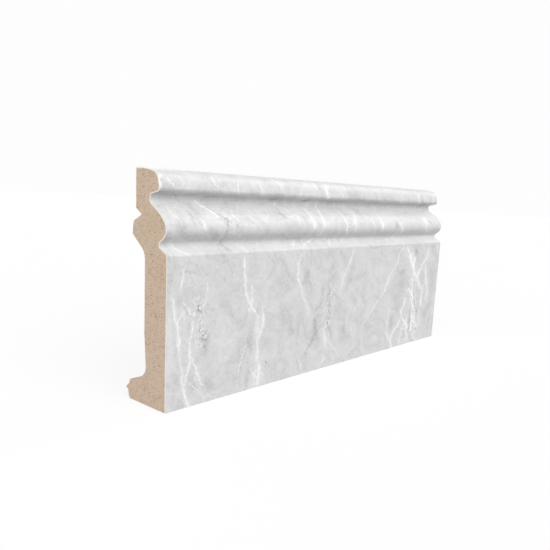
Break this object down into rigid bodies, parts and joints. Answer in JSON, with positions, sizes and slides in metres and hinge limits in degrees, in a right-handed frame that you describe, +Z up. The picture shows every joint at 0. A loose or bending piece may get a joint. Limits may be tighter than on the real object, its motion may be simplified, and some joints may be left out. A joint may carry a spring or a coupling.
{
  "type": "skirting board",
  "caption": "Moulded skirting board: a pressed-fibre bar wrapped in marble-print film, with a rounded nose, cove and bead over a tall flat face and a cable recess behind.",
  "frame": {"origin": "middle of the overall box at floor level", "axes": "+X along the board, +Y towards the wall, -Y the side of the finished face, +Z up"},
  "size_m": [0.23, 0.028, 0.1],
  "materials": {
    "fibre_core": "matt, sawn and milled",
    "marble_film": "satin print"
  },
  "bodies": {
    "root": {"core": "fibre_core", "decor_film": "marble_film"}
  },
  "joints": []
}
